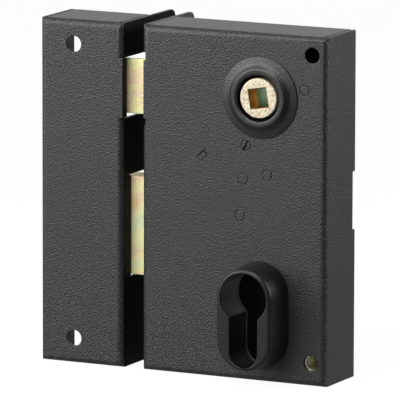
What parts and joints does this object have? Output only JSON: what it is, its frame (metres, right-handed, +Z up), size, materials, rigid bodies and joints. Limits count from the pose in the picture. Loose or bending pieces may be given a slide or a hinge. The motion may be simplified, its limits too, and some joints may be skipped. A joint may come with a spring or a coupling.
{
  "type": "rim lock",
  "caption": "Black rim lock with its keeper box: sprung latch drawn by a square-spindle follower, and a deadbolt for a profile cylinder, both thrown.",
  "frame": {"origin": "spindle axis where it crosses the mounting plane, behind the follower", "axes": "+X from the keeper to the lock, +Y from the front face to the gate or door it is fixed to, +Z up"},
  "size_m": [0.1138, 0.0551, 0.1249],
  "materials": {
    "powder_black": "satin",
    "cast_black": "satin",
    "yellow_zinc": "satin",
    "plain_zinc": "satin",
    "spring_steel": "satin"
  },
  "bodies": {
    "case": {"lock_case": "powder_black", "back_cover": "plain_zinc", "cover_screws": "plain_zinc", "cylinder_collar": "cast_black", "follower_rose": "cast_black", "follower_spring": "spring_steel", "spring_centre_post": "powder_black", "cover_post": "powder_black", "lever_pivot_post": "powder_black", "latch_guide_post": "powder_black", "latch_spring_post": "powder_black", "detent_post": "powder_black", "fixing_tube": "yellow_zinc", "latch_spring": "spring_steel", "detent_spring": "spring_steel", "keeper_box": "powder_black"},
    "follower": {"follower": "yellow_zinc"},
    "latch": {"latch_bolt": "yellow_zinc", "latch_tail": "yellow_zinc", "latch_rivets": "yellow_zinc", "lever_drive_pin": "yellow_zinc"},
    "lever": {"latch_lever": "yellow_zinc"},
    "deadbolt": {"deadbolt": "yellow_zinc", "deadbolt_tail": "yellow_zinc", "deadbolt_rivets": "yellow_zinc"}
  },
  "joints": [
    {"name": "follower_turn", "type": "hinge", "parent": "case", "child": "follower", "pos_m": [0, 0, 0], "axis": [0, -1, 0], "range_deg": [0, 40], "stiffness_Nm_per_rad": 0.3, "springref_deg": -11.46, "deforming": ["follower_spring"]},
    {"name": "latch_slide", "type": "slide", "parent": "case", "child": "latch", "axis": [1, 0, 0], "range_m": [0, 0.0142], "deforming": ["latch_spring"]},
    {"name": "lever_turn", "type": "hinge", "parent": "case", "child": "lever", "pos_m": [-0.00794, -0.011, -0.0428], "axis": [0, 1, 0], "range_deg": [0, 43.5]},
    {"name": "deadbolt_slide", "type": "slide", "parent": "case", "child": "deadbolt", "axis": [1, 0, 0], "range_m": [0, 0.02], "deforming": ["detent_spring"]}
  ],
  "couplings": [
    {"joint": "latch_slide", "follows": "follower_turn", "m_per_rad": 0.020054},
    {"joint": "lever_turn", "follows": "follower_turn", "ratio": 1.0782}
  ]
}
